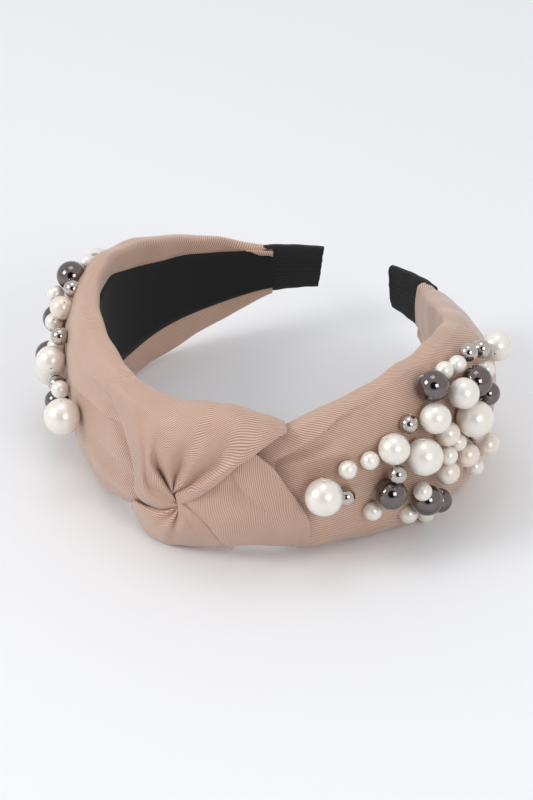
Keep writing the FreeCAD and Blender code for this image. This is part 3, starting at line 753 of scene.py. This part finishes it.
right_foam = foam("right_foam", np.linspace(36, 165, 70), lambda d: eased(RIGHT_TOP, d),
                  lambda d: eased(RIGHT_BOTTOM, d), lambda d: eased(RIGHT_FULL, d),
                  lambda d: eased(RIGHT_LEAN, d))
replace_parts(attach(right_foam, "right_arm"), "right_padding")
left_foam = foam("left_foam", np.linspace(-165, -36, 70), lambda d: eased(LEFT_TOP, d),
                 lambda d: eased(LEFT_BOTTOM, d), lambda d: eased(LEFT_FULL, d),
                 lambda d: eased(LEFT_LEAN, d))
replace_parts(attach(left_foam, "left_arm"), "left_padding")
crown_foam = foam("crown_foam", np.linspace(-9, 24, 30), lambda d: 49.5 + 0 * d, lambda d: 8.0 + 0 * d,
                  lambda d: 6.6 + 0 * d, lambda d: 0 * d)
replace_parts(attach(crown_foam, "crown"), "crown_padding")

# ---------------------------------------------------------------- ribbon ends
RIBBON_TUCKED_IN = 4
RIBBON_MIDDLE = 1.65
RIBBON_HALF_THICKNESS = 1.75
RIBBON_COLUMNS = 72
# Mean radius of the sleeve, which turns its angle into millimetres of ribbon
RIBBON_RADIUS = 7.0


def ribbon_end(label, side):
    """Grosgrain sleeve over the end of the hoop, with a slightly uneven folded tip."""
    distances = np.linspace(SASH_END - RIBBON_TUCKED_IN, TIP + 0.4, 60)
    start_half, end_half, drop = (10.3, 8.1, 2.0) if side > 0 else (9.3, 8.0, 0.6)
    half = np.interp(distances, [SASH_END, TIP], [start_half, end_half])[:, None]
    turn = np.linspace(0, 2 * math.pi, RIBBON_COLUMNS, endpoint=False)
    out = RIBBON_MIDDLE + RIBBON_HALF_THICKNESS * np.sign(np.cos(turn)) * np.abs(np.cos(turn)) ** 0.45
    share = np.sign(np.sin(turn)) * np.abs(np.sin(turn)) ** 0.75
    height = MID_HEIGHT - drop + half * share
    skew = 0.9 * share * np.clip((distances[:, None] - TIP + 8) / 8, 0, 1)
    wobble = 0.18 * wave(height, 5.3, 0.5 + side) * np.clip((distances[:, None] - TIP + 5) / 5, 0, 1)
    distance = side * (distances[:, None] + skew + wobble)
    points = place(distance, out + 0.12 * wave(distances[:, None], 7.0, 1.0) * share, height)
    around = turn[None, :] * RIBBON_RADIUS + 0 * distances[:, None]
    uv = np.stack([np.broadcast_to(distances[:, None], height.shape), around], -1)
    piece = grid_piece(label + "_ribbon_sleeve", points, uv, grosgrain, closed=True)
    close_ends(piece, len(distances), RIBBON_COLUMNS)
    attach(piece, label + "_arm")
    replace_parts(piece, label + "_tip_cover")


for label, side in SIDES:
    ribbon_end(label, side)


# ---------------------------------------------------------------- beads
def islands(node):
    """(points, bore direction) of each separate bead of a node. The bore's edges are the longest."""
    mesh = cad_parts[node].data
    points = np.array([v.co for v in mesh.vertices], float).reshape(-1, 3)
    keys = np.round(points * 1e6).astype(int)
    unique, same = np.unique(keys, axis=0, return_inverse=True)
    same = same.reshape(-1)
    parent = list(range(len(unique)))

    def root(i):
        while parent[i] != i:
            parent[i] = parent[parent[i]]
            i = parent[i]
        return i
    for edge in mesh.edges:
        a, b = root(same[edge.vertices[0]]), root(same[edge.vertices[1]])
        parent[a] = b
    groups = {}
    for i, point in zip(same, points):
        groups.setdefault(root(i), ([], []))[0].append(point)
    for edge in mesh.edges:
        a, b = edge.vertices
        groups[root(same[a])][1].append(points[b] - points[a])
    found = []
    for group, edges in groups.values():
        edges = np.array(edges)
        lengths = np.linalg.norm(edges, axis=1)
        long_edges = edges[lengths > 0.97 * lengths.max()]
        found.append((np.array(group), np.linalg.svd(long_edges, full_matrices=False)[2][0]))
    return found


def bead_place(points):
    """Centre and radius of a drilled bead, from its points."""
    centre = (points.min(0) + points.max(0)) / 2
    for _ in range(12):
        offsets = points - centre
        reach = np.linalg.norm(offsets, axis=1)
        on_ball = reach > reach.max() * 0.96
        system = np.hstack([2 * points[on_ball], np.ones((on_ball.sum(), 1))])
        answer = np.linalg.lstsq(system, (points[on_ball] ** 2).sum(1), rcond=None)[0]
        centre = answer[:3]
    return centre, math.sqrt(answer[3] + centre @ centre)


BORE_RADIUS = 0.3 * MM
THREAD_RADIUS = 0.16 * MM
THREAD_CLEARANCE = 0.04 * MM


def bead_mesh(radius, material):
    """Drilled ball with a rounded lip at each end of its bore, turned round Z."""
    start = math.asin(BORE_RADIUS * 1.25 / radius)
    profile = [(radius * math.sin(a), radius * math.cos(a)) for a in np.linspace(start, math.pi - start, 41)]
    lip = radius * math.cos(start)
    profile = [(BORE_RADIUS, 0.0), (BORE_RADIUS, lip * 0.93), (BORE_RADIUS * 1.06, lip * 0.985)] + profile
    profile += [(BORE_RADIUS * 1.06, -lip * 0.985), (BORE_RADIUS, -lip * 0.93)]
    turn = np.linspace(0, 2 * math.pi, 56, endpoint=False)
    ring = np.array(profile)
    points = np.stack([ring[:, :1] * np.cos(turn), ring[:, :1] * np.sin(turn),
                       np.repeat(ring[:, 1:], len(turn), axis=1)], -1)
    rows, columns = points.shape[:2]
    index = np.arange(rows * columns).reshape(rows, columns)
    index = np.vstack([index, index[:1]])
    index = np.hstack([index, index[:, :1]])
    quads = np.stack([index[:-1, :-1], index[:-1, 1:], index[1:, 1:], index[1:, :-1]], -1).reshape(-1, 4)
    mesh = bpy.data.meshes.new("bead")
    mesh.from_pydata(points.reshape(-1, 3).tolist(), [], quads[:, ::-1].tolist())
    mesh.polygons.foreach_set("use_smooth", [True] * len(mesh.polygons))
    mesh.materials.append(material)
    return mesh


meshes = {}


def add_bead(name, body, node, points, axis, material):
    centre, radius = bead_place(points)
    key = (round(radius / MM, 1), material.name)
    if key not in meshes:
        meshes[key] = bead_mesh(radius, material)
    bead = make_object(name, meshes[key])
    bead.rotation_mode = "QUATERNION"
    bead.rotation_quaternion = Vector(axis).to_track_quat("Z", "Y")
    bead.location = Vector(centre)
    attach(bead, body)
    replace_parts(bead, node)
    return centre, radius, axis


FINISHES = {
    "large": (pearl_white, "pearl"),
    "medium": (pearl_white, "pearl"),
    "light": (pearl_cream, "pearl"),
    "grey": (gunmetal, "dark_metal"),
    "lightgrey": (gunmetal, "dark_metal"),
    "small": (pearl_white, "pearl"),
    "silver": (bright_silver, "silver_metal"),
}
beads = {"left": [], "right": []}
for label, side in SIDES:
    for node in sorted(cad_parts):
        words = node.split("_")
        if words[0] != label or words[1] not in FINISHES:
            continue
        material, slot_name = FINISHES[words[1]]
        for number, (points, axis) in enumerate(islands(node), 1):
            name = node + "_ball" if words[1] not in ("small", "silver") else f"{node}_ball_{number}"
            beads[label].append(add_bead(name, label + "_arm", node, points, axis, material))


def thread_tube(path):
    """Round thread along a path of points."""
    path = np.asarray(path)
    tangent = np.gradient(path, axis=0)
    tangent /= np.linalg.norm(tangent, axis=1, keepdims=True)
    side = np.cross(tangent[0], [0.3, 0.5, 0.8])
    rings = []
    for point, way in zip(path, tangent):
        side = side - way * (side @ way)
        side = side / np.linalg.norm(side)
        other = np.cross(way, side)
        turn = np.linspace(0, 2 * math.pi, 8, endpoint=False)[:, None]
        rings.append(point + THREAD_RADIUS * (np.cos(turn) * side + np.sin(turn) * other))
    return np.array(rings)


def sewing(label):
    """Thread through each bead and down into the fabric beside it."""
    rings = []
    for centre, radius, axis in beads[label]:
        inward = inward_at(centre)
        inward = inward - axis * (inward @ axis)
        inward = inward / np.linalg.norm(inward)
        reach = radius + THREAD_CLEARANCE
        loop = [centre + (axis * math.cos(a) + inward * math.sin(a)) * reach
                for a in np.linspace(1.3, 0.1, 9)]
        back = [centre + (-axis * math.cos(a) + inward * math.sin(a)) * reach
                for a in np.linspace(0.1, 1.3, 9)]
        inside = [centre + axis * t * radius for t in (0.9, 0.45, 0.0, -0.45, -0.9)]
        rings.append(thread_tube(np.array(loop + inside + back)))
    vertices = np.vstack([ring.reshape(-1, 3) for ring in rings])
    faces = []
    base = 0
    for ring in rings:
        count, columns = ring.shape[:2]
        index = base + np.arange(count * columns).reshape(count, columns)
        faces.append([int(i) for i in index[0][::-1]])
        faces.append([int(i) for i in index[-1]])
        index = np.hstack([index, index[:, :1]])
        quads = np.stack([index[:-1, :-1], index[:-1, 1:], index[1:, 1:], index[1:, :-1]], -1).reshape(-1, 4)
        faces += quads.tolist()
        base += count * columns
    mesh = bpy.data.meshes.new(label + "_sewing_thread")
    mesh.from_pydata(vertices.tolist(), [], faces)
    mesh.polygons.foreach_set("use_smooth", [True] * len(mesh.polygons))
    mesh.materials.append(thread_white)
    piece = make_object(label + "_sewing_thread", mesh)
    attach(piece, label + "_arm")
    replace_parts(piece, label + "_threads")


# Beads are sewn down towards a line this far inside the band
DEPTH_UNDER_BEADS = 28.0


def inward_at(point):
    """Direction from a bead towards the line inside the band that it is sewn down to."""
    far = np.array([abs(point[0]), point[1]]) / MM
    lines = np.stack([plan_x, plan_y + DEPTH_SHIFT], -1)
    nearest = int(np.argmin(np.hypot(*(lines - far).T)))
    normal = np.array([run_y[nearest], -run_x[nearest]])
    under = lines[nearest] - normal * DEPTH_UNDER_BEADS
    side = 1 if point[0] >= 0 else -1
    target = np.array([side * under[0], under[1], MID_HEIGHT]) * MM
    direction = target - point
    return direction / np.linalg.norm(direction)


for label, _ in SIDES:
    sewing(label)

# ---------------------------------------------------------------- floor, light and camera
bpy.ops.mesh.primitive_plane_add(size=6.0, location=(0, 0, 0))
floor = bpy.context.object
floor.name = "floor"
floor_material = new_material("floor_white", (0.86, 0.865, 0.88), 0.6)[0]
floor.data.materials.append(floor_material)

TARGET = Vector((0.00408, -0.01382, 0.02698))
AZIMUTH = math.radians(24.28)
ELEVATION = math.radians(33.51)
CAMERA_DISTANCE = 0.78781
LENS = 108.13
camera_data = bpy.data.cameras.new("camera")
camera_data.lens = LENS
camera_data.sensor_width = 36.0
camera = bpy.data.objects.new("camera", camera_data)
bpy.context.scene.collection.objects.link(camera)
back = Vector((math.sin(AZIMUTH) * math.cos(ELEVATION), -math.cos(AZIMUTH) * math.cos(ELEVATION),
               math.sin(ELEVATION)))
camera.location = TARGET + back * CAMERA_DISTANCE
camera.rotation_mode = "QUATERNION"
camera.rotation_quaternion = (-back).to_track_quat("-Z", "Y")
camera_data.clip_start = 0.01
bpy.context.scene.camera = camera


def area_light(name, location, size, power):
    data = bpy.data.lights.new(name, "AREA")
    data.shape = "SQUARE"
    data.size = size
    data.energy = power
    light = bpy.data.objects.new(name, data)
    bpy.context.scene.collection.objects.link(light)
    light.location = location
    light.rotation_mode = "QUATERNION"
    light.rotation_quaternion = (Vector(location) - TARGET).to_track_quat("Z", "Y")
    return light


area_light("left_softbox", (-0.9, -0.75, 0.85), 0.5, 6.6)
area_light("right_softbox", (0.95, -0.75, 0.75), 0.5, 4.6)
area_light("top_softbox", (-0.15, 0.1, 1.4), 0.6, 2.0)

# White studio tent with one dark opening, on the side that the photograph was taken from
OPENING_WAY = (0.343, -0.76, 0.552)
OPENING_EDGE = (0.84, 0.93)
TENT_STRENGTH = 0.77
OPENING_STRENGTH = 0.04
world = bpy.data.worlds.new("studio")
bpy.context.scene.world = world
world.use_nodes = True
nodes = world.node_tree.nodes
links = world.node_tree.links
way = nodes.new("ShaderNodeTexCoord")
towards = nodes.new("ShaderNodeVectorMath")
towards.operation = "DOT_PRODUCT"
towards.inputs[1].default_value = OPENING_WAY
dim = nodes.new("ShaderNodeMapRange")
dim.interpolation_type = "SMOOTHSTEP"
dim.inputs["From Min"].default_value = OPENING_EDGE[0]
dim.inputs["From Max"].default_value = OPENING_EDGE[1]
dim.inputs["To Min"].default_value = TENT_STRENGTH
dim.inputs["To Max"].default_value = OPENING_STRENGTH
links.new(way.outputs["Generated"], towards.inputs[0])
links.new(towards.outputs["Value"], dim.inputs["Value"])
links.new(dim.outputs["Result"], nodes["Background"].inputs["Strength"])
nodes["Background"].inputs["Color"].default_value = (0.97, 0.98, 1.0, 1)

bpy.context.scene.view_settings.view_transform = "Standard"
